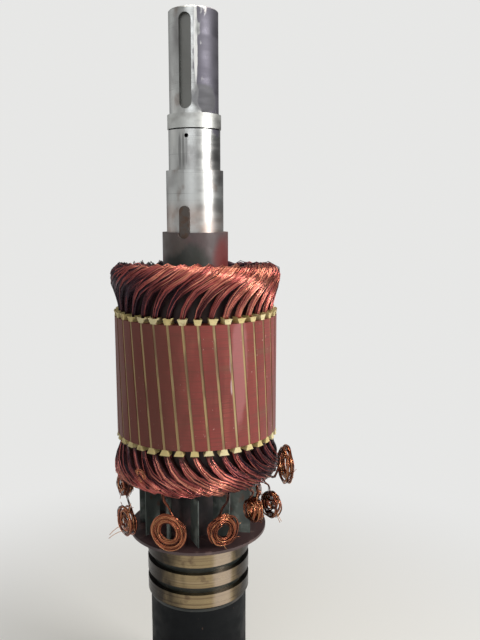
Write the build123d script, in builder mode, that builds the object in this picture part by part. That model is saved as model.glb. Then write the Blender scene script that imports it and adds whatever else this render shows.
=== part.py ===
"""Wound rotor of a slip ring motor, standing on its slip ring end in a pipe stand.

All sizes are in millimetres. The origin is the centre of the stand's foot, on the floor, and +Z is up
along the shaft. Angles are measured about the shaft from the front, -Y, towards +X.
"""

import os
from math import cos, radians, sin, tan

from build123d import *

# Running and seating clearances
fit = 0.1
seat = 0.3
plate_clearance = 3.0

# Pipe stand
stand_height = 270.0
stand_radius = 90.0
stand_wall = 8.0
foot_radius = 150.0
foot_thickness = 14.0

# Slip rings, from the stand up
flange_thickness = 5.0
end_insulator = 4.5
ring_radius = 95.0
ring_width = 25.0
ring_gap = 13.5
ring_count = 3
top_insulator = 15.5
insulator_radius = 86.0
bush_radius = 62.0

# Fan
disc_radius = 127.0
disc_thickness = 5.0
blade_count = 12
blade_height = 86.0
blade_inner_radius = 74.0
blade_outer_radius = 110.0
blade_thickness = 2.0
blade_lean = 24.0
lower_hub_radius = 62.0
lower_hub_length = 176.0

# Laminated core
core_radius = 145.0
core_length = 210.0
slot_count = 36
slot_skew = 6.67
front_slot_angle = 4.7
slot_opening = 4.8
slot_lip = 3.5
slot_width = 10.5
slot_depth = 34.0
slot_clearance = 0.2
end_plate_radius = core_radius - slot_depth - plate_clearance
end_plate_thickness = 12.0

# Slot insulation
liner_wall = 0.7
liner_cuff = 10.0
wedge_height = 5.2

# End windings
coil_span = 7
coil_turn = 5.0
coil_rise = 14.0
coil_width = 9.0
coil_thickness = 10.0
coil_flare = 11.0
# How far each bend of a leg has turned, risen and flared, as shares of the whole leg
coil_bends = [(0.12, 0.30, 0.3), (0.33, 0.60, 0.75), (0.58, 0.82, 1.0), (0.83, 1.0, 1.0)]
upper_overhang = 88.0
lower_overhang = 82.0

# Shaft, from the top down
keyed_end_radius = 42.5
keyed_end_length = 170.0
seal_seat_radius = 43.5
journal_radius = 45.0
journal_length = 67.5
body_radius = 50.0
body_length = 105.5
core_seat_radius = 55.0
ring_seat_radius = 45.0
tail_end_radius = 40.0
tail_end_length = 170.0
shaft_chamfer = 2.0
keyway_angle = -17.0
keyway_width = 22.0
keyway_depth = 9.0
keyway_length = 153.0
keyway_inset = 10.0
hub_key_width = 18.0
hub_key_depth = 7.0
hub_key_height = 11.0
hub_key_show = 45.0
hub_key_hidden = 90.0
centre_hole_radius = 8.75
centre_hole_depth = 42.0
lock_hole_radius = 3.5
lock_hole_depth = 12.0
lock_hole_angle = -14.0
lock_hole_drop = 11.0

# Collars on the shaft
seal_radius = 46.5
seal_width = 24.0
seal_gap = 2.0
upper_hub_radius = 58.0
upper_hub_length = 133.0
hub_notch_radius = 10.5

# Coiled leads below the winding
lead_diameter = 5.0
tail_straight = 0.33
tail_sides = 8
coil_outer_sides = 28
coil_inner_sides = 16

# Heights worked out from the sizes above
ring_pitch = ring_width + ring_gap
ring_base = stand_height + flange_thickness + end_insulator
disc_base = ring_base + ring_count * ring_pitch - ring_gap + top_insulator
disc_top = disc_base + disc_thickness
lower_plate_base = disc_top + lower_hub_length
core_base = lower_plate_base + end_plate_thickness
core_top = core_base + core_length
upper_hub_base = core_top + end_plate_thickness
upper_hub_top = upper_hub_base + upper_hub_length
journal_base = upper_hub_top + body_length
journal_top = journal_base + journal_length
seal_base = journal_top + seal_gap
keyed_end_base = seal_base + seal_width
shaft_top = keyed_end_base + keyed_end_length
shaft_bottom = stand_height - tail_end_length


def polar(radius, angle, height):
    """The point at a radius and height, at an angle from the front towards +X."""
    return Vector(radius * sin(radians(angle)), -radius * cos(radians(angle)), height)


def outward(angle):
    """The direction away from the shaft at an angle from the front."""
    return polar(1.0, angle, 0.0)


def slot_angle(height):
    """The angle of the front slot at a height. The slots are skewed, also in their cuffs."""
    return front_slot_angle + slot_skew * (core_top - height) / core_length


def slot_plane(height):
    """The plane across the slots at a height, with x outward through the front slot."""
    return Plane(origin=(0, 0, height), x_dir=outward(slot_angle(height)), z_dir=(0, 0, 1))


# Shaft: one turned piece, with a keyway at each seat that needs one
shaft_steps = [
    (tail_end_radius, shaft_bottom, stand_height),
    (ring_seat_radius, stand_height, disc_base),
    (body_radius, disc_base, lower_plate_base),
    (core_seat_radius, lower_plate_base, upper_hub_base),
    (body_radius, upper_hub_base, journal_base),
    (journal_radius, journal_base, journal_top),
    (seal_seat_radius, journal_top, keyed_end_base),
    (keyed_end_radius, keyed_end_base, shaft_top),
]
shaft_outline = [(0, shaft_bottom)]
for radius, base, top in shaft_steps:
    shaft_outline += [(radius, base), (radius, top)]
shaft_outline.append((0, shaft_top))
keyway_middle = shaft_top - keyway_inset - keyway_length / 2
hub_key_base = upper_hub_top - hub_key_hidden
hub_key_length = hub_key_hidden + hub_key_show
hub_key_middle = hub_key_base + hub_key_length / 2


def key_plane(radius, height):
    """A plane that faces out through the keyways, with x up along the shaft."""
    at = polar(radius, keyway_angle, height)
    return Plane(origin=at, x_dir=(0, 0, 1), z_dir=outward(keyway_angle))


with BuildPart() as shaft:
    with BuildSketch(Plane(origin=(0, 0, 0), x_dir=outward(keyway_angle), z_dir=outward(keyway_angle - 90))):
        with BuildLine():
            Polyline(*shaft_outline, close=True)
        make_face()
    revolve(axis=Axis.Z)
    ends = shaft.edges().filter_by(GeomType.CIRCLE).sort_by(Axis.Z)
    chamfer([ends[0], ends[-1]], shaft_chamfer)
    with BuildSketch(key_plane(keyed_end_radius, keyway_middle)):
        SlotOverall(keyway_length, keyway_width)
    extrude(amount=-keyway_depth, mode=Mode.SUBTRACT)
    with BuildSketch(key_plane(body_radius, hub_key_middle)):
        SlotOverall(hub_key_length + 2 * seat, hub_key_width + 2 * fit)
    extrude(amount=-hub_key_depth, mode=Mode.SUBTRACT)
    with BuildSketch(Plane.XY.offset(shaft_top)):
        Circle(centre_hole_radius)
    extrude(amount=-centre_hole_depth, mode=Mode.SUBTRACT)
    lock_hole_centre = polar(journal_radius, lock_hole_angle, journal_top - lock_hole_drop)
    with BuildSketch(Plane(origin=lock_hole_centre, z_dir=outward(lock_hole_angle))):
        Circle(lock_hole_radius)
    extrude(amount=-lock_hole_depth, mode=Mode.SUBTRACT)
shaft.part.label = "shaft"
export_step(shaft.part, "parts/shaft.step")

# Key between the shaft and the upper hub, with round ends
with BuildPart() as hub_key:
    with BuildSketch(key_plane(body_radius - hub_key_depth, hub_key_middle)):
        SlotOverall(hub_key_length, hub_key_width)
    extrude(amount=hub_key_height)
hub_key.part.label = "hub_key"
export_step(hub_key.part, "parts/hub_key.step")

# Seal ring below the keyed end
with BuildPart() as seal_ring:
    with BuildSketch(Plane.XY.offset(seal_base)):
        Circle(seal_radius)
        Circle(seal_seat_radius + fit, mode=Mode.SUBTRACT)
    extrude(amount=seal_width)
seal_ring.part.label = "seal_ring"
export_step(seal_ring.part, "parts/seal_ring.step")

# Upper hub: a keyed sleeve on the core's end plate, with a notch where the key comes out
with BuildPart() as upper_hub:
    with BuildSketch(Plane.XY.offset(upper_hub_base)):
        Circle(upper_hub_radius)
        Circle(body_radius + fit, mode=Mode.SUBTRACT)
    extrude(amount=upper_hub_length)
    with BuildSketch(key_plane(body_radius, upper_hub_top)):
        Circle(hub_notch_radius)
    extrude(amount=upper_hub_radius, mode=Mode.SUBTRACT)
    key_crown = body_radius - hub_key_depth + hub_key_height + fit
    with BuildSketch(key_plane(key_crown, (hub_key_base + upper_hub_top) / 2)):
        Rectangle(hub_key_hidden + 2 * seat, hub_key_width + 2 * fit)
    extrude(amount=-hub_key_height, mode=Mode.SUBTRACT)
upper_hub.part.label = "upper_hub"
export_step(upper_hub.part, "parts/upper_hub.step")

# Plates that clamp the laminations
with BuildPart() as upper_end_plate:
    with BuildSketch(Plane.XY.offset(core_top)):
        Circle(end_plate_radius)
        Circle(core_seat_radius + fit, mode=Mode.SUBTRACT)
    extrude(amount=end_plate_thickness)
upper_end_plate.part.label = "upper_end_plate"
export_step(upper_end_plate.part, "parts/upper_end_plate.step")

with BuildPart() as lower_end_plate:
    with BuildSketch(Plane.XY.offset(lower_plate_base)):
        Circle(end_plate_radius)
        Circle(core_seat_radius + fit, mode=Mode.SUBTRACT)
    extrude(amount=end_plate_thickness)
lower_end_plate.part.label = "lower_end_plate"
export_step(lower_end_plate.part, "parts/lower_end_plate.step")

# Outlines of a slot and what lies in it, as distances out from the shaft and half widths across
slot_floor = core_radius - slot_depth
lip_base = core_radius - slot_lip
slot_shoulder = lip_base - (slot_width - slot_opening) / 2
wedge_crown = core_radius - 4 * slot_clearance
wedge_base = wedge_crown - wedge_height
liner_top = wedge_base - slot_clearance
liner_floor = slot_floor + 2 * slot_clearance
liner_half = slot_width / 2 - slot_clearance
bar_top = liner_top - slot_clearance
bar_floor = liner_floor + liner_wall + slot_clearance
bar_half = liner_half - liner_wall - slot_clearance


def mirrored(side):
    """A closed outline from the points of its upper side, each a distance out and a half width."""
    return side + [(out, -half) for out, half in reversed(side)]


slot_outline = mirrored([
    (core_radius + slot_lip, slot_opening / 2),
    (lip_base, slot_opening / 2),
    (slot_shoulder, slot_width / 2),
    (slot_floor, slot_width / 2),
])
wedge_outline = mirrored([
    (wedge_crown, slot_opening / 2 - slot_clearance),
    (lip_base - slot_clearance, slot_opening / 2 - slot_clearance),
    (wedge_base, slot_opening / 2 - slot_clearance + (lip_base - slot_clearance - wedge_base)),
])
liner_outline = [
    (liner_top, liner_half),
    (liner_floor, liner_half),
    (liner_floor, -liner_half),
    (liner_top, -liner_half),
    (liner_top, liner_wall - liner_half),
    (liner_floor + liner_wall, liner_wall - liner_half),
    (liner_floor + liner_wall, liner_half - liner_wall),
    (liner_top, liner_half - liner_wall),
]
bar_outline = mirrored([(bar_top, bar_half), (bar_floor, bar_half)])

# The space of one skewed slot, cut out all round the core
with BuildPart() as slot_space:
    for height in (core_base - slot_lip, core_top + slot_lip):
        with BuildSketch(slot_plane(height)):
            Polygon(*slot_outline, align=None)
    loft(ruled=True)

with BuildPart() as rotor_core:
    with BuildSketch(Plane.XY.offset(core_base)):
        Circle(core_radius)
        Circle(core_seat_radius + fit, mode=Mode.SUBTRACT)
    extrude(amount=core_length)
    with PolarLocations(0, slot_count):
        add(slot_space.part, mode=Mode.SUBTRACT)
rotor_core.part.label = "rotor_core"
export_step(rotor_core.part, "parts/rotor_core.step")

# Wedges that close the slots
with BuildPart() as one_wedge:
    for height in (core_base, core_top):
        with BuildSketch(slot_plane(height)):
            Polygon(*wedge_outline, align=None)
    loft(ruled=True)

with BuildPart() as slot_wedges:
    with PolarLocations(0, slot_count):
        add(one_wedge.part)
slot_wedges.part.label = "slot_wedges"
export_step(slot_wedges.part, "parts/slot_wedges.step")

# Channels of insulation in the slots, with a cuff past each end of the core
with BuildPart() as one_liner:
    for height in (core_base - liner_cuff, core_top + liner_cuff):
        with BuildSketch(slot_plane(height)):
            Polygon(*liner_outline, align=None)
    loft(ruled=True)

with BuildPart() as slot_liners:
    with PolarLocations(0, slot_count):
        add(one_liner.part)
slot_liners.part.label = "slot_liners"
export_step(slot_liners.part, "parts/slot_liners.step")

# Straight coil sides in the slots
with BuildPart() as one_coil_side:
    for height in (core_base, core_top):
        with BuildSketch(slot_plane(height)):
            Polygon(*bar_outline, align=None)
    loft(ruled=True)

with BuildPart() as slot_coil_sides:
    with PolarLocations(0, slot_count):
        add(one_coil_side.part)
slot_coil_sides.part.label = "slot_coil_sides"
export_step(slot_coil_sides.part, "parts/slot_coil_sides.step")

# Coil ends: each leaves the outer half of a slot, leans round to its nose at the rim, turns inward over
# it, and runs back to the inner half of the slot that is the coil span away
layer_depth = (bar_top - bar_floor - seat) / 2
outer_layer = bar_top - layer_depth / 2
inner_layer = bar_floor + layer_depth / 2
slot_pitch = 360.0 / slot_count
coil_sweep = coil_span * slot_pitch
leg_sweep = (coil_sweep - coil_turn) / 2


def coil_stations(overhang):
    """Sections along a coil end: distance out, angle from its slot, rise, how far it has turned over
    from facing outward (0) through facing away from the core (1) to facing inward (2), and whether it is
    still packed as in the slot."""
    crest = overhang - coil_thickness / 2
    shoulder = crest - 0.9 * coil_thickness
    climb = shoulder - coil_rise
    throat = inner_layer + coil_thickness / 4
    stations = [(outer_layer, 0.0, 0.0, 0, True), (outer_layer, 0.0, coil_rise, 0, True)]
    for turned, risen, flared in coil_bends:
        out = outer_layer + flared * coil_flare
        stations.append((out, turned * leg_sweep, coil_rise + risen * climb, 0, False))
    stations.append(((stations[-1][0] + throat) / 2, coil_sweep / 2, crest, 1, False))
    for turned, risen, _ in reversed(coil_bends):
        out = inner_layer + (throat - inner_layer) * risen
        stations.append((out, coil_sweep - turned * leg_sweep, coil_rise + risen * climb, 2, False))
    stations.append((inner_layer, coil_sweep, coil_rise, 2, True))
    stations.append((inner_layer, coil_sweep, 0.0, 2, True))
    return stations


def coil_sections(overhang, base, side):
    """Planes across a coil end with their widths and depths. Side is 1 above the core and -1 below."""
    stations = coil_stations(overhang)
    angles = [slot_angle(base + side * min(rise, coil_rise)) + turn for _, turn, rise, _, _ in stations]
    points = [
        polar(out, angle, base + side * rise) for angle, (out, _, rise, _, _) in zip(angles, stations)
    ]
    sections = []
    for index, (_, _, _, facing, packed) in enumerate(stations):
        ahead = points[min(index + 1, len(points) - 1)] - points[max(index - 1, 0)]
        if packed:
            ahead = Vector(0, 0, side * (1 - facing))
        face = outward(angles[index]) * (1 - facing)
        if facing == 1:
            face = Vector(0, 0, side)
        across = ahead.cross(face).normalized()
        plane = Plane(origin=points[index], x_dir=across, z_dir=ahead.normalized())
        width, depth = (2 * bar_half, layer_depth) if packed else (coil_width, coil_thickness)
        sections.append((plane, width, depth))
    return sections


def bundle(sections):
    """A solid through rectangles across a path, closed with flat faces, two to each side of a stretch."""
    corners = []
    for plane, width, depth in sections:
        across, through = plane.x_dir * (width / 2), plane.y_dir * (depth / 2)
        middle = plane.origin
        corners.append([
            middle - across - through, middle + across - through, middle + across + through,
            middle - across + through,
        ])
    outlines = [corners[0][::-1], corners[-1]]
    for near, far in zip(corners, corners[1:]):
        for side in range(4):
            ahead = (side + 1) % 4
            outlines.append([near[side], near[ahead], far[ahead]])
            outlines.append([near[side], far[ahead], far[side]])
    faces = [Face(Wire.make_polygon(outline, close=True)) for outline in outlines]
    return Solid(Shell(faces))


upper_end = bundle(coil_sections(upper_overhang, core_top, 1))
with BuildPart() as upper_coil_ends:
    with PolarLocations(0, slot_count):
        add(upper_end)
upper_coil_ends.part.label = "upper_coil_ends"
export_step(upper_coil_ends.part, "parts/upper_coil_ends.step")

lower_end = bundle(coil_sections(lower_overhang, core_base, -1))
with BuildPart() as lower_coil_ends:
    with PolarLocations(0, slot_count):
        add(lower_end)
lower_coil_ends.part.label = "lower_coil_ends"
export_step(lower_coil_ends.part, "parts/lower_coil_ends.step")

# Lower hub: a sleeve that carries the core off the fan disc
with BuildPart() as lower_hub:
    with BuildSketch(Plane.XY.offset(disc_top)):
        Circle(lower_hub_radius)
        Circle(body_radius + fit, mode=Mode.SUBTRACT)
    extrude(amount=lower_hub_length)
lower_hub.part.label = "lower_hub"
export_step(lower_hub.part, "parts/lower_hub.step")

# Fan: a round disc with upright sheet blades
with BuildPart() as fan_disc:
    with BuildSketch(Plane.XY.offset(disc_base)):
        Circle(disc_radius)
        Circle(body_radius + fit, mode=Mode.SUBTRACT)
    extrude(amount=disc_thickness)
fan_disc.part.label = "fan_disc"
export_step(fan_disc.part, "parts/fan_disc.step")

blade_length = blade_outer_radius - blade_inner_radius
blade_middle = (blade_outer_radius + blade_inner_radius) / 2
with BuildPart() as fan_blades:
    with BuildSketch(Plane.XY.offset(disc_top)):
        with PolarLocations(blade_middle, blade_count):
            Rectangle(blade_length, blade_thickness, rotation=blade_lean)
    extrude(amount=blade_height)
fan_blades.part.label = "fan_blades"
export_step(fan_blades.part, "parts/fan_blades.step")

# Slip ring bush: a sleeve on the shaft with a flange that rests on the stand
with BuildPart() as slip_ring_bush:
    with BuildSketch(Plane.XY.offset(stand_height)):
        Circle(stand_radius)
    extrude(amount=flange_thickness)
    with BuildSketch(Plane.XY.offset(stand_height)):
        Circle(bush_radius)
    extrude(amount=disc_base - stand_height)
    with BuildSketch(Plane.XY.offset(stand_height)):
        Circle(ring_seat_radius + fit)
    extrude(amount=disc_base - stand_height, mode=Mode.SUBTRACT)
slip_ring_bush.part.label = "slip_ring_bush"
export_step(slip_ring_bush.part, "parts/slip_ring_bush.step")

# Insulators under, between and over the slip rings
insulator_bases = [stand_height + flange_thickness]
insulator_heights = [end_insulator]
for index in range(ring_count - 1):
    insulator_bases.append(ring_base + index * ring_pitch + ring_width)
    insulator_heights.append(ring_gap)
insulator_bases.append(ring_base + (ring_count - 1) * ring_pitch + ring_width)
insulator_heights.append(top_insulator)
with BuildPart() as ring_insulators:
    for base, height in zip(insulator_bases, insulator_heights):
        with BuildSketch(Plane.XY.offset(base)):
            Circle(insulator_radius)
            Circle(bush_radius + fit, mode=Mode.SUBTRACT)
        extrude(amount=height)
ring_insulators.part.label = "ring_insulators"
export_step(ring_insulators.part, "parts/ring_insulators.step")

# Slip rings
for index in range(ring_count):
    with BuildPart() as slip_ring:
        with BuildSketch(Plane.XY.offset(ring_base + index * ring_pitch)):
            Circle(ring_radius)
            Circle(bush_radius + fit, mode=Mode.SUBTRACT)
        extrude(amount=ring_width)
    slip_ring.part.label = f"slip_ring_{index + 1}"
    export_step(slip_ring.part, f"parts/slip_ring_{index + 1}.step")

# Pipe stand: a pipe whose rim carries the rotor, on a round foot
with BuildPart() as stand_pipe:
    with BuildSketch(Plane.XY.offset(foot_thickness)):
        Circle(stand_radius)
        Circle(stand_radius - stand_wall, mode=Mode.SUBTRACT)
    extrude(amount=stand_height - foot_thickness)
stand_pipe.part.label = "stand_pipe"
export_step(stand_pipe.part, "parts/stand_pipe.step")

with BuildPart() as stand_foot:
    with BuildSketch(Plane.XY):
        Circle(foot_radius)
    extrude(amount=foot_thickness)
stand_foot.part.label = "stand_foot"
export_step(stand_foot.part, "parts/stand_foot.step")

# Coiled leads. Each drops from a coil nose of the lower winding to a coil of its own. A row gives the
# coil's angle from the front, its centre's distance beyond the core and height above the fan disc, its
# outside and inside diameters, its thickness, and how far its face is turned from facing outward. The
# coil that stands higher than the noses is met at its back, the others on top.
lead_rows = [
    (-20.0, -17.5, 35.3, 70.0, 32.0, 12.0, 0.0),
    (24.0, -20.5, 36.0, 60.0, 24.0, 12.0, 6.0),
    (49.0, -8.0, 63.0, 50.0, 20.0, 12.0, 50.0),
    (69.0, -2.0, 57.0, 54.0, 20.0, 12.0, 40.0),
    (91.0, 19.0, 112.0, 76.0, 40.0, 12.0, 12.0),
    (132.0, -13.0, 33.0, 64.0, 28.0, 12.0, 0.0),
    (168.0, -15.0, 33.3, 66.0, 30.0, 12.0, -10.0),
    (-140.0, -11.0, 33.0, 64.0, 28.0, 12.0, 10.0),
    (-96.0, -6.0, 66.0, 44.0, 18.0, 14.0, 40.0),
    (-64.0, -7.0, 30.3, 58.0, 22.0, 14.0, 10.0),
]


def nose_underside(angle):
    """The lowest point of the lower coil nose that is nearest to an angle."""
    first = slot_angle(core_base - coil_rise)
    out, turn, rise, _, _ = max(coil_stations(lower_overhang), key=lambda station: station[2])
    steps = round((angle - first - turn) / slot_pitch)
    return polar(out, first + turn + steps * slot_pitch, core_base - rise - coil_thickness / 2)


def bend_radii(points):
    """The bend radius at each inner point of a route, from its shorter run and its turn."""
    radii = []
    for before, here, after in zip(points, points[1:], points[2:]):
        shorter = min((here - before).length, (after - here).length)
        turn = (here - before).get_angle(after - here)
        radii.append(0.45 * shorter / tan(radians(turn / 2)))
    return radii


down = Vector(0, 0, -1)
for number, (angle, out, height, outside, inside, thickness, twist) in enumerate(lead_rows, 1):
    centre = polar(core_radius + out, angle, disc_top + height)
    face = outward(angle + twist)
    with BuildPart() as lead_coil:
        with BuildSketch(Plane(origin=centre - face * (thickness / 2), x_dir=(0, 0, 1), z_dir=face)):
            RegularPolygon(outside / 2, coil_outer_sides)
            RegularPolygon(inside / 2, coil_inner_sides, mode=Mode.SUBTRACT)
        extrude(amount=thickness)
    lead_coil.part.label = f"lead_coil_{number:02d}"
    export_step(lead_coil.part, f"parts/lead_coil_{number:02d}.step")

    start = nose_underside(angle) + down * seat
    end = centre - down * (outside / 2 + seat)
    arrival = down
    if end.Z > start.Z:
        end = centre - face * (thickness / 2 + seat) + down * ((outside + inside) / 4)
        arrival = face
    straight = tail_straight * (end - start).length
    route = [start, start + down * straight, end - arrival * straight, end]
    radii = bend_radii(route)
    with BuildPart() as lead_tail:
        with BuildLine() as lead_path:
            FilletPolyline(*route, radius=radii)
        with BuildSketch(Plane(origin=start, z_dir=down)):
            tail_section = RegularPolygon(lead_diameter / 2, tail_sides)
        sweep()
    lead_tail.part.label = f"lead_tail_{number:02d}"
    export_step(lead_tail.part, f"parts/lead_tail_{number:02d}.step")
    length = sum(edge.length for edge in lead_path.line.edges())
    share = lead_tail.part.volume / (length * tail_section.area)
    print(f"lead {number}: bends {[round(radius) for radius in radii]}, {length:.1f} long, volume {share:.3f}")
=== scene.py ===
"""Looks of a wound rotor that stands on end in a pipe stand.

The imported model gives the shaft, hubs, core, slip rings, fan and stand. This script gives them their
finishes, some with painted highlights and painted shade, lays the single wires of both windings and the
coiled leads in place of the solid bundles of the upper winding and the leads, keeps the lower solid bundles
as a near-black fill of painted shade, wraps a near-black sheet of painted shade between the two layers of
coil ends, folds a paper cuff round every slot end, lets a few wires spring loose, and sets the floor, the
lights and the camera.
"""

import logging
import math
import random
from dataclasses import dataclass
from enum import Enum
from functools import cache
from typing import Callable

import bmesh
import bpy
import numpy as np
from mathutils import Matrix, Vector


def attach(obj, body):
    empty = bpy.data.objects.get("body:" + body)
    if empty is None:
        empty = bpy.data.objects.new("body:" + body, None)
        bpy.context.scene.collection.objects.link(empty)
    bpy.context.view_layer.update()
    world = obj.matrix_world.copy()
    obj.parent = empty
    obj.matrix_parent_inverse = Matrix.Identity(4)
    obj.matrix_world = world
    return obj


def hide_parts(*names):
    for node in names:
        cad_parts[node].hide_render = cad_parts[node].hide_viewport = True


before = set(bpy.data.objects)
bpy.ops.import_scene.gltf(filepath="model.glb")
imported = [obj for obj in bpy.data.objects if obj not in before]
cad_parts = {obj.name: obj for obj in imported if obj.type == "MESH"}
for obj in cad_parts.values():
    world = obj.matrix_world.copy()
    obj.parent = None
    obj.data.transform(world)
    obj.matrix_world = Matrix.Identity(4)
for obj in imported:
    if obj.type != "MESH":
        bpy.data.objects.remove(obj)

log = logging.getLogger("rotor")

Colour = tuple[float, float, float]
Point = tuple[float, float, float]
Span = tuple[float, float]
Scale = Span | float
Socket = bpy.types.NodeSocket
Piece = bpy.types.Object
Strand = tuple[list[Vector], list[float]]

# Random phases lie between 0 and this, about a full turn in radians
PHASES = 6.3
# How far one step of a noise's seed shifts it along x, y and z
SEED_STEP = (1.0, 1.7, 0.6)
# A face whose normal has more than this share along an axis looks along it
SQUARE = 0.9

# Heights and slot places that the frame was built with, in metres and degrees
CORE_BASE = 0.59
CORE_TOP = 0.8
SLOT_COUNT = 36
SLOT_PITCH = 360.0 / SLOT_COUNT
FRONT_SLOT = 4.7
SLOT_SKEW = 6.67


def polar(radius: float, angle: float, height: float) -> Vector:
    """The point at a radius and height, at an angle in degrees from the front towards +X."""
    turn = math.radians(angle)
    return Vector((radius * math.sin(turn), -radius * math.cos(turn), height))


def slot_angle(height: float) -> float:
    """The angle of the front slot at a height."""
    return FRONT_SLOT + SLOT_SKEW * (CORE_TOP - height) / (CORE_TOP - CORE_BASE)


class End(Enum):
    """The end of the core that a winding stands on, and its direction away from the core."""

    UPPER = 1
    LOWER = -1

    @property
    def base(self) -> float:
        """The height of the core's face at this end."""
        return CORE_TOP if self is End.UPPER else CORE_BASE

    @property
    def label(self) -> str:
        """The word that names of pieces at this end start with."""
        return self.name.lower()


class Graph:
    """A node tree, with short ways to add and join its nodes."""

    def __init__(self, tree: bpy.types.NodeTree) -> None:
        """Empties the tree that the nodes go into."""
        self.tree = tree
        self.tree.nodes.clear()

    def put(self, socket: Socket, value: object) -> None:
        """Links a socket to another, or sets its value.

        Args:
            socket: The input that takes the value.
            value: An output socket, a number or a colour.
        """
        if isinstance(value, Socket):
            self.tree.links.new(value, socket)
        elif isinstance(value, tuple) and socket.type == "RGBA":
            socket.default_value = (*value, 1.0)
        else:
            socket.default_value = value

    def node(self, kind: str, **values: object) -> bpy.types.Node:
        """Adds a shader node.

        Args:
            kind: The node's type, less the ShaderNode that it starts with.
            values: What its inputs take, by their names with underscores for spaces.

        Returns:
            The node.
        """
        node = self.tree.nodes.new(f"ShaderNode{kind}")
        for name, value in values.items():
            self.put(node.inputs[name.replace("_", " ")], value)
        return node

    def math(self, operation: str, *values: object) -> Socket:
        """A Math node over one or two values.

        Args:
            operation: The operation's name in Blender.
            values: Numbers or sockets, in order.

        Returns:
            The result's socket.
        """
        node = self.node("Math")
        node.operation = operation
        for socket, value in zip(node.inputs, values):
            self.put(socket, value)
        return node.outputs[0]

    def times(self, product: object, *others: object) -> Socket:
        """The product of two or more values.

        Args:
            product: The first number or socket.
            others: What it is multiplied by, in order.

        Returns:
            The product's socket.
        """
        for other in others:
            product = self.math("MULTIPLY", product, other)
        return product

    def blend(self, share: object, *shaders: Socket) -> Socket:
        """A mix of two shaders.

        Args:
            share: How much the second one shows, from 0 to 1.
            shaders: The two shaders' sockets.

        Returns:
            The mixed shader's socket.
        """
        node = self.node("MixShader", Fac=share)
        for socket, shader in zip(node.inputs[1:], shaders):
            self.put(socket, shader)
        return node.outputs["Shader"]


class Surface(Graph):
    """A material's nodes, with patterns over the coordinates of the piece that wears it."""

    def __init__(self, name: str) -> None:
        """Starts a material with a shader and an output.

        Args:
            name: The material's name.
        """
        self.material = bpy.data.materials.new(name)
        self.material.use_nodes = True
        super().__init__(self.material.node_tree)
        self.shader = self.node("BsdfPrincipled")
        self.output = self.node("OutputMaterial", Surface=self.shader.outputs["BSDF"])
        self.coords = self.node("TexCoord").outputs["Object"]

    def ramp(self, value: object, low: float, high: float) -> Socket:
        """Maps a value smoothly to 0 at low and 1 at high.

        Args:
            value: The socket to map.
            low: Where the result starts to rise, or to fall where high is the smaller.
            high: Where the result is 1.

        Returns:
            The result's socket.
        """
        falls = high < low
        node = self.node(
            "MapRange", Value=value, From_Min=min(low, high), From_Max=max(low, high),
            To_Min=float(falls), To_Max=float(not falls),
        )
        node.interpolation_type = "SMOOTHSTEP"
        return node.outputs["Result"]

    def noise(self, scale: Scale, detail: float = 4.0, seed: float = 0.0) -> Socket:
        """Noise over the piece's own coordinates.

        Args:
            scale: Waves to the metre, the same all ways or across and upright.
            detail: Octaves of finer noise.
            seed: Shifts the pattern.

        Returns:
            The noise's socket, around 0.5.
        """
        across, upright = scale if isinstance(scale, tuple) else (scale, scale)
        place = tuple(step * seed for step in SEED_STEP)
        mapping = self.node("Mapping", Vector=self.coords, Location=place, Scale=(across, across, upright))
        pattern = self.node("TexNoise", Vector=mapping.outputs["Vector"], Scale=1.0, Detail=detail)
        return pattern.outputs["Fac"]

    def axis(self, name: str) -> Socket:
        """One coordinate of the piece, X, Y or Z."""
        return self.node("SeparateXYZ", Vector=self.coords).outputs[name]

    def radius(self) -> Socket:
        """The distance from the shaft's axis."""
        squares = [self.times(self.axis(name), self.axis(name)) for name in "XY"]
        return self.math("SQRT", self.math("ADD", *squares))

    def mix(self, share: object, first: object, second: object) -> Socket:
        """A mix of two colours.

        Args:
            share: How much the second one shows, from 0 to 1.
            first: The first colour or its socket.
            second: The second colour or its socket.

        Returns:
            The mixed colour's socket.
        """
        node = self.node("Mix")
        node.data_type = "RGBA"
        for socket, value in zip((node.inputs[0], *node.inputs[6:8]), (share, first, second)):
            self.put(socket, value)
        return node.outputs[2]


class Layer:
    """A second colour over part of a surface."""

    colour: Colour
    strength: float

    def mask(self, graph: Surface) -> Socket:
        """Where the layer shows. Each kind of layer has its own way.

        Args:
            graph: The nodes of the material that it lies on.

        Returns:
            A socket that is 1 where the layer shows and 0 where it doesn't.
        """
        raise NotImplementedError


@dataclass(frozen=True)
class Blotches(Layer):
    """Patches of a second colour where noise is high."""

    colour: Colour
    scale: Scale
    low: float = 0.5
    high: float = 0.65
    strength: float = 1.0
    seed: float = 0.0

    def mask(self, graph: Surface) -> Socket:
        """Where the patches show, from 0 to 1."""
        return graph.ramp(graph.noise(self.scale, seed=self.seed), self.low, self.high)


@dataclass(frozen=True)
class Band(Layer):
    """A second colour between two heights, broken up by noise at its edges."""

    colour: Colour
    bottom: float
    top: float
    soft: float = 0.01
    strength: float = 1.0
    breaks: float = 22.0
    worn: Span = (0.25, 0.7)

    def mask(self, graph: Surface) -> Socket:
        """Where the band shows, from 0 to 1."""
        height = graph.axis("Z")
        out_of_shade = graph.ramp(height, self.bottom - self.soft, self.bottom + self.soft)
        falling = graph.ramp(height, self.top + self.soft, self.top - self.soft)
        broken = graph.ramp(graph.noise(self.breaks, seed=4.0), *self.worn)
        return graph.times(out_of_shade, falling, broken)


@dataclass(frozen=True)
class Rim(Layer):
    """A painted highlight from one distance off the axis to another, along a lit edge."""

    colour: Colour
    start: float
    full: float
    strength: float = 1.0

    def mask(self, graph: Surface) -> Socket:
        """Where the rim shows, from 0 to 1."""
        return graph.ramp(graph.radius(), self.start, self.full)


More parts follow.
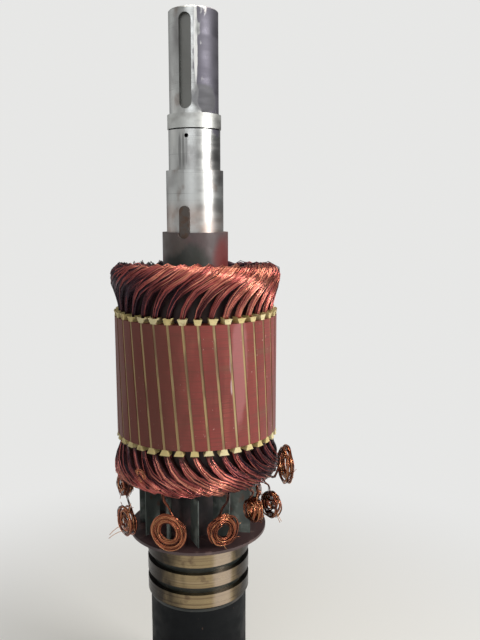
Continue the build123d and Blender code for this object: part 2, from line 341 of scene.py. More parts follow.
@dataclass(frozen=True)
class ShadedRecess(Layer):
    """Painted shade below a surface, as in a keyway, between two heights."""

    colour: Colour
    bottom: float
    top: float
    surface: float
    strength: float = 1.0
    step: float = 0.0008

    def mask(self, graph: Surface) -> Socket:
        """Where the recess shows, from 0 to 1."""
        height = graph.axis("Z")
        above = graph.math("GREATER_THAN", height, self.bottom)
        below = graph.math("LESS_THAN", height, self.top)
        sunk = graph.ramp(graph.radius(), self.surface, self.surface - self.step)
        return graph.times(above, below, sunk)


@dataclass(frozen=True)
class Worn(Layer):
    """A second colour in an upright patch with a ragged edge, duller where dull adds roughness. It serves for
    real wear and marks, and for painted highlights, painted reflections and painted shade.
    """

    colour: Colour
    centre: Point
    size: Point
    strength: float = 1.0
    edge: float = 0.7
    dull: float = 0.0
    rags: Scale = (60.0, 30.0)
    raggedness: float = 1.2

    def mask(self, graph: Surface) -> Socket:
        """Where the patch shows, from 0 to 1."""
        total: object = 0.0
        for name, middle, half in zip("XYZ", self.centre, self.size):
            share = graph.math("DIVIDE", graph.math("SUBTRACT", graph.axis(name), middle), half)
            total = graph.math("ADD", total, graph.times(share, share))
        ragged = graph.math("ADD", total, graph.times(graph.noise(self.rags, seed=8.0), self.raggedness))
        return graph.ramp(ragged, 1.0 + self.edge, 1.0)


@dataclass(frozen=True)
class Tone(Layer):
    """A second colour that follows the tone each wire or cuff carries as an attribute. On the wires the tone
    carries painted light and shade; on the cuffs it differs at random from cuff to cuff.
    """

    colour: Colour
    low: float = 0.3
    high: float = 1.0
    strength: float = 1.0

    def mask(self, graph: Surface) -> Socket:
        """How far the tone shows, from 0 to 1."""
        node = graph.node("Attribute")
        node.attribute_name = "tone"
        return graph.ramp(node.outputs["Fac"], self.low, self.high)


@dataclass(frozen=True)
class Finish:
    """A surface of the rotor: its colour with layers over it, its gloss and its grain.

    The slot is named only where it isn't the finish's own name.
    """

    name: str
    base: Colour
    slot: str = ""
    layers: tuple[Layer, ...] = ()
    metallic: float = 0.0
    smooth: float = 0.4
    rough: float = 0.6
    gloss_scale: Scale = 40.0
    gloss_range: Span = (0.3, 0.7)
    grain: Scale = 400.0
    grain_height: float = 0.0002
    grain_strength: float = 0.3
    coat: float = 0.0
    coat_roughness: float = 0.25
    specular: float = 0.5

    def build(self) -> bpy.types.Material:
        """Makes the node material.

        Returns:
            The material, ready to assign.
        """
        graph = Surface(self.name)
        colour: object = self.base
        gloss = graph.ramp(graph.noise(self.gloss_scale, seed=2.0), *self.gloss_range)
        rough = graph.math("ADD", graph.times(gloss, self.rough - self.smooth), self.smooth)
        for layer in self.layers:
            mask = graph.times(layer.mask(graph), layer.strength)
            colour = graph.mix(mask, colour, layer.colour)
            if isinstance(layer, Worn) and layer.dull:
                rough = graph.math("ADD", rough, graph.times(mask, layer.dull))
        grain = graph.noise(self.grain, detail=3.0, seed=5.0)
        bump = graph.node("Bump", Strength=self.grain_strength, Distance=self.grain_height, Height=grain)
        inputs = {
            "Base Color": colour, "Roughness": rough, "Metallic": self.metallic,
            "Specular IOR Level": self.specular, "Coat Weight": self.coat,
            "Coat Roughness": self.coat_roughness, "Normal": bump.outputs["Normal"],
        }
        for name, value in inputs.items():
            graph.put(graph.shader.inputs[name], value)
        return graph.material


SHAFT_STEEL = Finish(
    "shaft_steel", (0.52, 0.53, 0.52), metallic=1.0, smooth=0.3, rough=0.46,
    gloss_scale=(9.0, 60.0), grain=(3.0, 2600.0), grain_height=0.00004, grain_strength=0.5,
    layers=(
        Blotches((0.2, 0.19, 0.19), (14.0, 9.0), 0.48, 0.72, 0.7, seed=1.0),
        Blotches((0.6, 0.6, 0.58), (26.0, 14.0), 0.55, 0.75, 0.6, seed=3.0),
        Blotches((0.22, 0.15, 0.12), (34.0, 20.0), 0.6, 0.74, 0.5, seed=7.0),
        Blotches((0.16, 0.16, 0.16), (5.0, 700.0), 0.6, 0.66, 0.45, seed=13.0),
        Band((0.3, 0.17, 0.12), 0.93, 0.985, 0.02, 0.75),
        Worn((0.135, 0.128, 0.16), (0.044, -0.02, 1.24), (0.059, 0.3, 0.18), 0.92, 0.15, 0.2),
        Worn((0.19, 0.19, 0.2), (0.02, -0.04, 1.168), (0.03, 0.06, 0.032), 0.85, 0.3, 0.2),
        Worn((0.85, 0.85, 0.82), (0.006, -0.042, 1.258), (0.0036, 0.03, 0.08), 0.85, 0.5),
        Worn((0.2, 0.2, 0.2), (-0.0225, -0.038, 1.083), (0.003, 0.03, 0.034), 0.75, 0.6),
        Worn((0.2, 0.2, 0.2), (-0.0165, -0.041, 1.084), (0.0024, 0.03, 0.032), 0.65, 0.6),
        Worn((0.22, 0.22, 0.22), (-0.011, -0.043, 1.086), (0.002, 0.03, 0.028), 0.6, 0.6),
        # Painted shade where the shaft is sunk: in the keyway, on the narrower part by the hub, and in the
        # groove
        ShadedRecess((0.16, 0.16, 0.15), 1.15, 1.305, 0.042, 0.9),
        ShadedRecess((0.05, 0.035, 0.03), 0.85, 0.993, 0.0495, 0.9),
        ShadedRecess((0.01, 0.01, 0.01), 1.09, 1.12, 0.0445),
    ),
)
RING_STEEL = Finish(
    "ring_steel", (0.56, 0.57, 0.55), metallic=1.0, smooth=0.42, rough=0.58,
    gloss_scale=(12.0, 90.0), grain=(4.0, 2000.0), grain_height=0.00004, grain_strength=0.5,
    layers=(Blotches((0.24, 0.23, 0.22), (20.0, 30.0), 0.45, 0.7, 0.7),),
)
KEY_STEEL = Finish(
    "key_steel", (0.11, 0.095, 0.085), metallic=0.9, smooth=0.4, rough=0.6,
    layers=(Blotches((0.11, 0.065, 0.045), 60.0, 0.45, 0.6, 0.7),),
)
HUB_IRON = Finish(
    "hub_iron", (0.105, 0.076, 0.076), smooth=0.38, rough=0.62, grain_height=0.0006,
    grain=160.0, grain_strength=0.5,
    layers=(
        Blotches((0.22, 0.075, 0.06), (16.0, 12.0), 0.5, 0.7, 0.7, seed=2.0),
        Blotches((0.035, 0.035, 0.038), (24.0, 16.0), 0.5, 0.68, 0.8, seed=6.0),
        Band((0.03, 0.028, 0.03), 0.8, 0.895, 0.012, 0.8),
        Worn((0.03, 0.04, 0.032), (-0.014, -0.055, 0.885), (0.044, 0.06, 0.04), 0.85, 1.2),
        Worn((0.17, 0.14, 0.12), (-0.044, -0.036, 0.926), (0.036, 0.06, 0.024), 0.7, 0.8),
        Worn((0.19, 0.026, 0.024), (0.05, -0.025, 0.893), (0.016, 0.04, 0.034), 0.8, 2.2),
        # Painted shade: the lower hub, under the lower winding, near black
        Band((0.016, 0.014, 0.015), 0.4, 0.6),
    ),
)
PLATE_VARNISH = Finish(
    "plate_varnish", (0.2, 0.06, 0.05), smooth=0.4, rough=0.6, grain_height=0.0005,
    grain=150.0, coat=0.3,
    layers=(Blotches((0.06, 0.03, 0.03), 20.0, 0.45, 0.65, 0.8),),
)
CORE_VARNISH = Finish(
    "core_varnish", (0.275, 0.05, 0.04), smooth=0.36, rough=0.54, specular=0.35,
    gloss_scale=(16.0, 5.0), grain=(30.0, 1900.0), grain_height=0.00012, grain_strength=0.5,
    coat=0.1, coat_roughness=0.2,
    layers=(
        Blotches((0.17, 0.036, 0.028), (13.0, 4.0), 0.45, 0.7, 0.75, seed=1.5),
        Blotches((0.36, 0.085, 0.062), (40.0, 7.0), 0.52, 0.72, 0.6, seed=5.0),
        Blotches((0.15, 0.045, 0.032), (20.0, 1100.0), 0.5, 0.62, 0.55, seed=9.0),
        Blotches((0.2, 0.085, 0.05), (9.0, 30.0), 0.58, 0.72, 0.5, seed=15.0),
        Blotches((0.72, 0.5, 0.42), (210.0, 150.0), 0.7, 0.76, 0.8, seed=11.0),
        # Painted shade: the left half of the core darker and rougher
        Worn((0.12, 0.036, 0.022), (-0.15, 0.0, 0.695), (0.15, 0.5, 0.5), 0.75, 1.4, 0.35),
        # A painted reflection of the window lamp as a pale panel, and two painted glints on it
        Worn((0.48, 0.19, 0.19), (0.078, -0.122, 0.725), (0.015, 0.06, 0.11), 0.55, 0.7),
        Worn((0.8, 0.68, 0.7), (0.0638, -0.13, 0.746), (0.0011, 0.03, 0.018), 0.5, 2.4),
        Worn((0.8, 0.68, 0.7), (0.0655, -0.129, 0.6965), (0.0013, 0.03, 0.01), 0.5, 2.4),
    ),
)
# A near-black sheet of painted shade between the layers of coil ends
SHADE_SHEET_BLACK = Finish(
    "black_shade_sheet", (0.03, 0.013, 0.012), slot="core_varnish", smooth=0.5, rough=0.7, grain=500.0,
    layers=(Blotches((0.075, 0.03, 0.022), 40.0, 0.5, 0.7, 0.7),),
)
SLOT_STRIP = Finish(
    "slot_strip", (0.43, 0.295, 0.13), smooth=0.5, rough=0.7, grain=(500.0, 60.0),
    layers=(
        Blotches((0.15, 0.075, 0.045), (22.0, 10.0), 0.46, 0.62, 0.65, seed=2.0),
        Blotches((0.5, 0.38, 0.19), (50.0, 16.0), 0.55, 0.7, 0.7, seed=8.0),
    ),
)
SLOT_PAPER = Finish(
    "slot_paper", (0.68, 0.54, 0.23), smooth=0.6, rough=0.8, grain=420.0,
    layers=(
        Tone((0.8, 0.69, 0.39), 0.1, 0.9, 0.9),
        Blotches((0.38, 0.24, 0.11), 90.0, 0.55, 0.7, 0.6, seed=4.0),
    ),
)
# The solid bundles that stay, near-black copper as painted shade behind and between the wires
SHADED_COPPER_FILL = Finish(
    "copper_fill_in_shade", (0.045, 0.014, 0.014), metallic=0.6, smooth=0.45, rough=0.65,
    grain=(600.0, 90.0), grain_height=0.001, grain_strength=0.8,
    layers=(Blotches((0.16, 0.05, 0.035), (520.0, 60.0), 0.5, 0.62, 0.6),),
)
WIRE_COPPER = Finish(
    "wire_copper", (0.49, 0.118, 0.104), slot="winding_copper", metallic=0.92, smooth=0.22, rough=0.36,
    grain=300.0, grain_height=0.0001, coat=0.12, coat_roughness=0.12,
    layers=(
        # The wires' tone carries painted light and shade: near-black where low, bright copper highlights
        # where high
        Tone((0.029, 0.016, 0.027), 0.5, 0.16, 0.98),
        Tone((0.86, 0.36, 0.24), 0.66, 0.95, 0.9),
        Blotches((0.1, 0.026, 0.03), 22.0, 0.5, 0.72, 0.6, seed=3.0),
    ),
)
LEAD_COPPER = Finish(
    "lead_copper", (0.5, 0.15, 0.075), metallic=0.92, smooth=0.16, rough=0.28,
    grain=300.0, grain_height=0.0001, coat=0.15, coat_roughness=0.12,
    layers=(
        # The leads' tone carries painted light and shade: near-black where low, bright copper highlights
        # where high
        Tone((0.03, 0.009, 0.009), 0.52, 0.2, 0.97),
        Tone((0.84, 0.42, 0.2), 0.62, 0.95, 0.9),
    ),
)
DISC_PAINT = Finish(
    "disc_paint", (0.085, 0.046, 0.046), smooth=0.4, rough=0.6, specular=0.3,
    grain=180.0, grain_height=0.0004, coat=0.12,
    layers=(
        Blotches((0.055, 0.032, 0.034), 18.0, 0.45, 0.7, 0.75),
        Blotches((0.26, 0.16, 0.14), 45.0, 0.6, 0.72, 0.6, seed=3.0),
        # Painted highlight along the disc's edge
        Rim((0.11, 0.085, 0.08), 0.1258, 0.1268, 0.4),
    ),
)
BLADE_PAINT = Finish(
    "blade_paint", (0.125, 0.145, 0.13), smooth=0.42, rough=0.62, grain_height=0.0003,
    grain=220.0,
    layers=(
        Blotches((0.045, 0.052, 0.052), (24.0, 18.0), 0.45, 0.68, 0.8),
        Blotches((0.16, 0.07, 0.045), (60.0, 40.0), 0.6, 0.72, 0.8, seed=5.0),
        Blotches((0.34, 0.37, 0.33), (30.0, 26.0), 0.54, 0.68, 0.75, seed=9.0),
    ),
)
BUSH_IRON = Finish(
    "bush_iron", (0.025, 0.028, 0.026), smooth=0.4, rough=0.6, grain_height=0.0004,
    layers=(Blotches((0.09, 0.07, 0.06), (40.0, 60.0), 0.5, 0.7, 0.6),),
)
RING_INSULATION = Finish(
    "ring_insulation", (0.014, 0.019, 0.016), smooth=0.32, rough=0.5,
    grain=(60.0, 900.0), grain_height=0.0001,
    layers=(
        Blotches((0.06, 0.06, 0.045), (26.0, 160.0), 0.5, 0.7, 0.6),
        Blotches((0.14, 0.1, 0.06), (70.0, 220.0), 0.64, 0.74, 0.5, seed=6.0),
    ),
)
RING_BRASS = Finish(
    "ring_brass", (0.36, 0.27, 0.15), metallic=1.0, smooth=0.26, rough=0.42,
    gloss_scale=(10.0, 300.0), grain=(4.0, 2200.0), grain_height=0.00008, grain_strength=0.6,
    layers=(
        Blotches((0.17, 0.115, 0.07), (1.2, 420.0), 0.46, 0.66, 0.7, seed=2.0),
        Blotches((0.52, 0.4, 0.25), (1.5, 260.0), 0.55, 0.7, 0.6, seed=7.0),
        Blotches((0.1, 0.06, 0.045), (40.0, 50.0), 0.58, 0.74, 0.6, seed=12.0),
        # Painted shade on the left and right sides of the rings, and a painted highlight at the front right
        Worn((0.02, 0.018, 0.019), (-0.125, 0.0, 0.335), (0.085, 0.5, 0.4), 0.95, 1.5),
        Worn((0.03, 0.026, 0.026), (0.125, 0.0, 0.335), (0.055, 0.5, 0.4), 0.95, 1.5),
        Worn((0.62, 0.5, 0.4), (0.048, -0.082, 0.335), (0.016, 0.06, 0.4), 0.6, 1.2),
    ),
)
STAND_PAINT = Finish(
    "stand_paint", (0.008, 0.009, 0.01), smooth=0.5, rough=0.7, specular=0.12,
    grain=170.0, grain_height=0.0004,
    layers=(
        Blotches((0.016, 0.018, 0.019), (20.0, 9.0), 0.5, 0.7, 0.7),
        Blotches((0.1, 0.06, 0.045), (90.0, 50.0), 0.66, 0.74, 0.7, seed=4.0),
    ),
)

NODE_FINISHES: dict[str, Finish] = {
    "shaft": SHAFT_STEEL, "seal_ring": RING_STEEL, "hub_key": KEY_STEEL, "upper_hub": HUB_IRON,
    "lower_hub": HUB_IRON, "upper_end_plate": PLATE_VARNISH, "lower_end_plate": PLATE_VARNISH,
    "rotor_core": CORE_VARNISH, "slot_wedges": SLOT_STRIP, "slot_liners": SLOT_PAPER,
    "slot_coil_sides": SHADED_COPPER_FILL, "lower_coil_ends": SHADED_COPPER_FILL,
    "fan_disc": DISC_PAINT, "fan_blades": BLADE_PAINT, "slip_ring_bush": BUSH_IRON,
    "ring_insulators": RING_INSULATION, "slip_ring_1": RING_BRASS, "slip_ring_2": RING_BRASS,
    "slip_ring_3": RING_BRASS, "stand_pipe": STAND_PAINT, "stand_foot": STAND_PAINT,
}


def clamp(value: float, low: float = 0.0, high: float = 1.0) -> float:
    """The value, held between two limits."""
    return min(max(value, low), high)


def pick_faces(mesh: bpy.types.Mesh, wanted: Callable[[bpy.types.MeshPolygon], bool]) -> None:
    """Selects the faces of a mesh that pass a test, and nothing else. It is called in object mode.

    Args:
        mesh: The mesh of the active object.
        wanted: The test of a face.
    """
    bpy.context.tool_settings.mesh_select_mode = (False, False, True)
    for item in (*mesh.vertices, *mesh.edges):
        item.select = False
    for face in mesh.polygons:
        face.select = wanted(face)


def set_tone(mesh: bpy.types.Mesh, tones: list[float]) -> None:
    """Stores one tone from 0 to 1 for every vertex of a mesh."""
    mesh.attributes.new("tone", "FLOAT", "POINT").data.foreach_set("value", tones)


def link(item: Piece) -> Piece:
    """Puts an object into the scene."""
    bpy.context.scene.collection.objects.link(item)
    return item


@cache
def material_of(finish: Finish) -> bpy.types.Material:
    """The material that all new pieces of a finish share."""
    return finish.build()


def settle(piece: Piece, finish: Finish) -> Piece:
    """Gives a new piece its finish and sets it on the rotor.

    Args:
        piece: The piece.
        finish: The finish that it wears.

    Returns:
        The piece.
    """
    piece.data.materials.append(material_of(finish))
    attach(piece, "root")
    return piece


def heading(points: list[Vector], index: int) -> Vector:
    """The way from the point before one of a row of points to the point after it."""
    return points[min(index + 1, len(points) - 1)] - points[max(index - 1, 0)]


def curve_mesh(curve: bpy.types.Curve) -> bpy.types.Mesh:
    """Makes a mesh of a curve and removes the curve.

    Args:
        curve: The curve.

    Returns:
        The mesh.
    """
    holder = bpy.data.objects.new(curve.name, curve)
    mesh = bpy.data.meshes.new_from_object(holder)
    bpy.data.objects.remove(holder)
    bpy.data.curves.remove(curve)
    return mesh


def wires_mesh(name: str, wires: list[list[Vector]], thickness: float, tones: list[list[float]]) -> Piece:
    """Sweeps a round wire along each row of points and joins them in one mesh.

    Args:
        name: The piece's name.
        wires: The points of each wire, in metres.
        thickness: The wire's diameter.
        tones: The tones of each wire, one for each of its points.

    Returns:
        The mesh object, at the origin.
    """
    curve = bpy.data.curves.new(name, "CURVE")
    curve.dimensions = "3D"
    curve.bevel_depth = thickness / 2
    curve.bevel_resolution = 0
    for wire in wires:
        spline = curve.splines.new("POLY")
        spline.points.add(len(wire) - 1)
        spline.points.foreach_set("co", [number for point in wire for number in (*point, 1.0)])
    mesh = curve_mesh(curve)
    mesh.name = name
    around = len(mesh.vertices) // sum(len(wire) for wire in wires)
    set_tone(mesh, [tone for row in tones for tone in row for _ in range(around)])
    mesh.shade_smooth()
    close_ends(mesh)
    return link(bpy.data.objects.new(name, mesh))


def close_ends(mesh: bpy.types.Mesh) -> None:
    """Fills the open ends of tubes.

    Args:
        mesh: The mesh that the tubes are in.
    """
    shape = bmesh.new()
    shape.from_mesh(mesh)
    bmesh.ops.holes_fill(shape, edges=[edge for edge in shape.edges if edge.is_boundary], sides=8)
    bmesh.ops.recalc_face_normals(shape, faces=shape.faces)
    shape.to_mesh(mesh)
    shape.free()


@dataclass(frozen=True)
class Shine:
    """Painted light and shade on a winding's wires: brighter on the side that faces the lamps, with painted
    highlight and painted shade along the crest. Sides are in radians from the front.
    """

    bright_side: float = 0.9
    bright_power: float = 2.6
    contrast: float = 1.0
    darkness: float = 0.34
    crest_highlight: float = 0.68
    crest_shade: float = 0.1
    crest_power: int = 8
    highlight_side: float = -0.38
    highlight_power: int = 4

    def tone(self, point: Vector, swell: float) -> float:
        """The painted light and shade of a bundle at a point.

        Args:
            point: The middle of the bundle there.
            swell: How near the point is to the crest, from 0 at the slots to 1.

        Returns:
            The tone, not yet held between 0 and 1.
        """
        facing = math.atan2(point.x, -point.y)
        lit = (0.5 + 0.5 * math.cos(facing - self.bright_side)) ** self.bright_power
        painted_highlight = self.crest_highlight * (0.5 + 0.5 * math.cos(facing - self.highlight_side)) ** self.highlight_power
        crest = painted_highlight - self.crest_shade
        return self.contrast * lit - self.darkness + crest * swell ** self.crest_power


@dataclass(frozen=True)
class Bundle:
    """How the wires of one coil end lie side by side, and how they stray towards the crest."""

    wires: int = 44
    wire: float = 0.0014
    half_width: float = 0.0036
    widening: float = 0.0042
    widening_power: float = 1.5
    half_depth: float = 0.0052
    deepening: float = 0.001
    crowding: float = 1.6
    pile: float = 1.9
    waves: Span = (0.5, 1.4)
    sway: float = 0.0016
    loose_sway: float = 0.003
    lift: float = 0.0006
    loose_lift: float = 0.0015
    loose_power: int = 3
    bright_wires: float = 0.45
    bright_tone: float = 0.26
    dark_tone: float = -0.22
    own_spread: float = 0.14
    # Painted shade: wires deep in the bundle and at its edges come out darker
    depth_shade: float = 0.24
    edge_shade: float = 0.14
    wander_tone: float = 0.12


@dataclass
class Winding:
    """The single wires of the coil ends at one end of the core.

    Each bend is a share of the leg's sweep, of its climb to the crest and of its flare.
    """

    end: End
    overhang: float
    seed: int
    crest_tilt: float = 0.0
    shine: Shine = Shine()
    bundle: Bundle = Bundle()
    samples: int = 16
    outer_layer: float = 0.1321
    inner_layer: float = 0.1188
    throat: float = 0.1213
    coil_root: float = 0.002
    coil_rise: float = 0.014
    coil_flare: float = 0.011
    crest_drop: float = 0.005
    shoulder_drop: float = 0.009
    leg_sweep: float = 32.5
    coil_sweep: float = 70.0
    lean: float = 1.2
    bends: tuple = ((0.1, 0.3, 0.3), (0.27, 0.6, 0.75), (0.5, 0.82, 1.0), (0.76, 1.0, 1.0))

    def stations(self) -> list[tuple[float, float, float, float]]:
        """The middle of a coil end from slot to slot.

        Returns:
            For each station its distance out, angle from the slot, rise, and how far it has turned over.
        """
        crest = self.overhang - self.crest_drop
        climb = crest - self.shoulder_drop - self.coil_rise
        rows = [(self.outer_layer, 0.0, rise, 0.0) for rise in (self.coil_root, self.coil_rise)]
        for turned, risen, flared in self.bends:
            out = self.outer_layer + flared * self.coil_flare
            rows.append((out, turned * self.leg_sweep, self.coil_rise + risen * climb, 0.0))
        rows.append(((rows[-1][0] + self.throat) / 2, self.coil_sweep / 2, crest, 1.0))
        for turned, risen, _ in reversed(self.bends):
            out = self.inner_layer + (self.throat - self.inner_layer) * risen
            rows.append((out, self.coil_sweep - turned * self.leg_sweep, self.coil_rise + risen * climb, 2.0))
        foot = (self.coil_rise, self.coil_root)
        return rows + [(self.inner_layer, self.coil_sweep, rise, 2.0) for rise in foot]

    def centreline(self) -> np.ndarray:
        """A smooth line through the stations, which leaves each one parallel to the line past it.

        Returns:
            One row for each sample: out, angle, rise and turn.
        """
        rows = np.array(self.stations())
        smooth = []
        for step in np.linspace(0.0, len(rows) - 1.0, self.samples):
            index = min(int(step), len(rows) - 2)
            share = step - index
            before, after = rows[max(index - 1, 0)], rows[min(index + 2, len(rows) - 1)]
            here, there = rows[index], rows[index + 1]
            smooth.append(0.5 * (
                2 * here + (there - before) * share
                + (2 * before - 5 * here + 4 * there - after) * share ** 2
                + (3 * here - before - 3 * there + after) * share ** 3
            ))
        return np.array(smooth)

    def coil(self, number: int, rng: random.Random) -> list[Strand]:
        """The wires of one coil end.

        Args:
            number: The coil's place round the core.
            rng: The source of variation.

        Returns:
            The points and tones of each wire.
        """
        sign = self.end.value
        place = number * SLOT_PITCH
        points, faces, path = [], [], []
        lean = rng.uniform(-self.lean, self.lean)
        for out, turn, rise, over in self.centreline():
            height = self.end.base + sign * rise
            towards_front = math.cos(math.radians(FRONT_SLOT + place + turn))
            height += self.crest_tilt * towards_front * (rise / self.overhang) ** 2
            angle = slot_angle(self.end.base + sign * min(rise, self.coil_rise)) + place
            bow = lean * math.sin(math.pi * clamp(turn / self.coil_sweep))
            points.append(polar(out, angle + turn + bow, height))
            tipped = math.radians(90.0 * clamp(over, 0.0, 2.0))
            away = polar(1.0, angle + turn, 0.0)
            faces.append(away * math.cos(tipped) + Vector((0.0, 0.0, sign)) * math.sin(tipped))
        for index, (point, face) in enumerate(zip(points, faces)):
            onward = heading(points, index)
            side = onward.cross(face).normalized()
            path.append((point, side, side.cross(onward).normalized()))
        return [self.strand(path, rng) for _ in range(self.bundle.wires)]

    def strand(self, path: list[tuple[Vector, Vector, Vector]], rng: random.Random) -> Strand:
        """One wire of a coil end, which wanders within its bundle and spreads towards the crest.

        Args:
            path: The middle of the bundle, with the directions across it and out of its face.
            rng: The source of variation.

        Returns:
            The wire's points and their tones, with painted shade where the wire lies deep in the bundle or at
            its edge.
        """
        lay = self.bundle
        across = rng.uniform(-1.0, 1.0)
        depth = 1.0 - rng.random() ** lay.crowding * lay.pile
        phase, waves = rng.uniform(0.0, PHASES), rng.uniform(*lay.waves)
        loose = rng.random() ** lay.loose_power
        own = rng.gauss(lay.bright_tone if rng.random() < lay.bright_wires else lay.dark_tone, lay.own_spread)
        wire, tones = [], []
        for index, (point, side, face) in enumerate(path):
            share = index / (len(path) - 1)
            swell = math.sin(math.pi * share)
            wander = math.sin(phase + PHASES * waves * share) * swell
            half_width = lay.half_width + lay.widening * swell ** lay.widening_power
            half_depth = lay.half_depth + lay.deepening * swell
            shift = across * half_width + wander * (lay.sway + lay.loose_sway * loose)
            lift = depth * half_depth + wander * lay.lift + loose * swell * lay.loose_lift
            wire.append(point + side * shift + face * lift)
            shade = self.shine.tone(point, swell)
            shade += lay.depth_shade * depth - lay.edge_shade * abs(across) + lay.wander_tone * wander
            tones.append(clamp(shade + own))
        return wire, tones

    def build(self) -> Piece:
        """Lays all the wires of this end.

        Returns:
            The mesh object of all wires.
        """
        rng = random.Random(self.seed)
        strands = [strand for number in range(SLOT_COUNT) for strand in self.coil(number, rng)]
        wires, tones = [list(rows) for rows in zip(*strands)]
        piece = wires_mesh(f"{self.end.label}_winding_wires", wires, self.bundle.wire, tones)
        settle(piece, WIRE_COPPER)
        if self.end is End.UPPER:
            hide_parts(f"{self.end.label}_coil_ends")
        return piece


@dataclass
class Cuffs:
    """The folded paper collars where the coils leave the slots at one end.

    Each collar differs a little in its flare, its tilt and how far it has dropped.
    """

    end: End
    seed: int
    height: float = 0.0095
    near_width: float = 0.0095
    far_width: float = 0.0155
    depth: float = 0.017
    face_radius: float = 0.1445
    paper: float = 0.0006
    middle_rise: float = 0.005
    flare: Span = (0.86, 1.12)
    tilt: Span = (-0.1, 0.1)
    drop: Span = (-0.0012, 0.0008)
    curl: float = 0.0016
    crumple: float = 0.0003

    def pattern(self) -> Piece:
        """One collar, standing on the origin and facing -Y: a channel that flares away from the core.

        Returns:
            The collar, with its faces cut finer and its paper thickness applied.
        """
        bpy.ops.mesh.primitive_cube_add(size=1.0, location=(0.0, self.depth / 2, self.height / 2))
        collar = bpy.context.object
        collar.scale = (self.near_width, self.depth, self.height)
        bpy.ops.object.transform_apply(location=True, rotation=True, scale=True)
        mesh = collar.data
        pick_faces(mesh, lambda face: face.normal.z > SQUARE)
        bpy.ops.object.mode_set(mode="EDIT")
        bpy.ops.transform.resize(value=(self.far_width / self.near_width, 1.0, 1.0))
        bpy.ops.object.mode_set(mode="OBJECT")
        pick_faces(mesh, lambda face: abs(face.normal.z) > SQUARE or face.normal.y > SQUARE)
        bpy.ops.object.mode_set(mode="EDIT")
        bpy.ops.mesh.delete(type="FACE")
        bpy.ops.mesh.select_all(action="SELECT")
        bpy.ops.mesh.subdivide(number_cuts=2, smoothness=0.0)
        bpy.ops.object.mode_set(mode="OBJECT")
        shell = collar.modifiers.new("paper", "SOLIDIFY")
        shell.thickness = self.paper
        shell.offset = -1.0
        bpy.ops.object.modifier_apply(modifier=shell.name)
        return collar

    def build(self) -> Piece:
        """Sets a collar at every slot, each a little bent and toned its own way.

        Returns:
            The mesh object of all collars at this end.
        """
        bpy.ops.object.select_all(action="DESELECT")
        pattern = self.pattern()
        rng = random.Random(self.seed)
        shape = bmesh.new()
        tones: list[float] = []
        height, sign = self.end.base, self.end.value
        for number in range(SLOT_COUNT):
            angle = slot_angle(height + sign * self.middle_rise) + number * SLOT_PITCH
            copy = pattern.data.copy()
            flare, tilt, drop = (rng.uniform(*span) for span in (self.flare, self.tilt, self.drop))
            for vertex in copy.vertices:
                x, y, z = vertex.co
                share = z / self.height
                x = x * (1.0 + (flare - 1.0) * share) + tilt * z
                y += -self.curl * share ** 2 + rng.uniform(-self.crumple, self.crumple)
                turn = math.degrees(x / self.face_radius)
                vertex.co = polar(self.face_radius - y, angle + turn, height + sign * (z + drop * share))
            shape.from_mesh(copy)
            tones += [rng.random()] * len(copy.vertices)
            bpy.data.meshes.remove(copy)
        bmesh.ops.recalc_face_normals(shape, faces=shape.faces)
        mesh = bpy.data.meshes.new(f"{self.end.label}_slot_cuffs")
        shape.to_mesh(mesh)
        shape.free()
        set_tone(mesh, tones)
        bpy.data.objects.remove(pattern)
        return settle(link(bpy.data.objects.new(mesh.name, mesh)), SLOT_PAPER)


class Hank(Enum):
    """How a lead's coil is wound, with how loosely its turns lie."""

    NEAT = 0.6
    TANGLED = 1.0
    SPIKY = 1.6


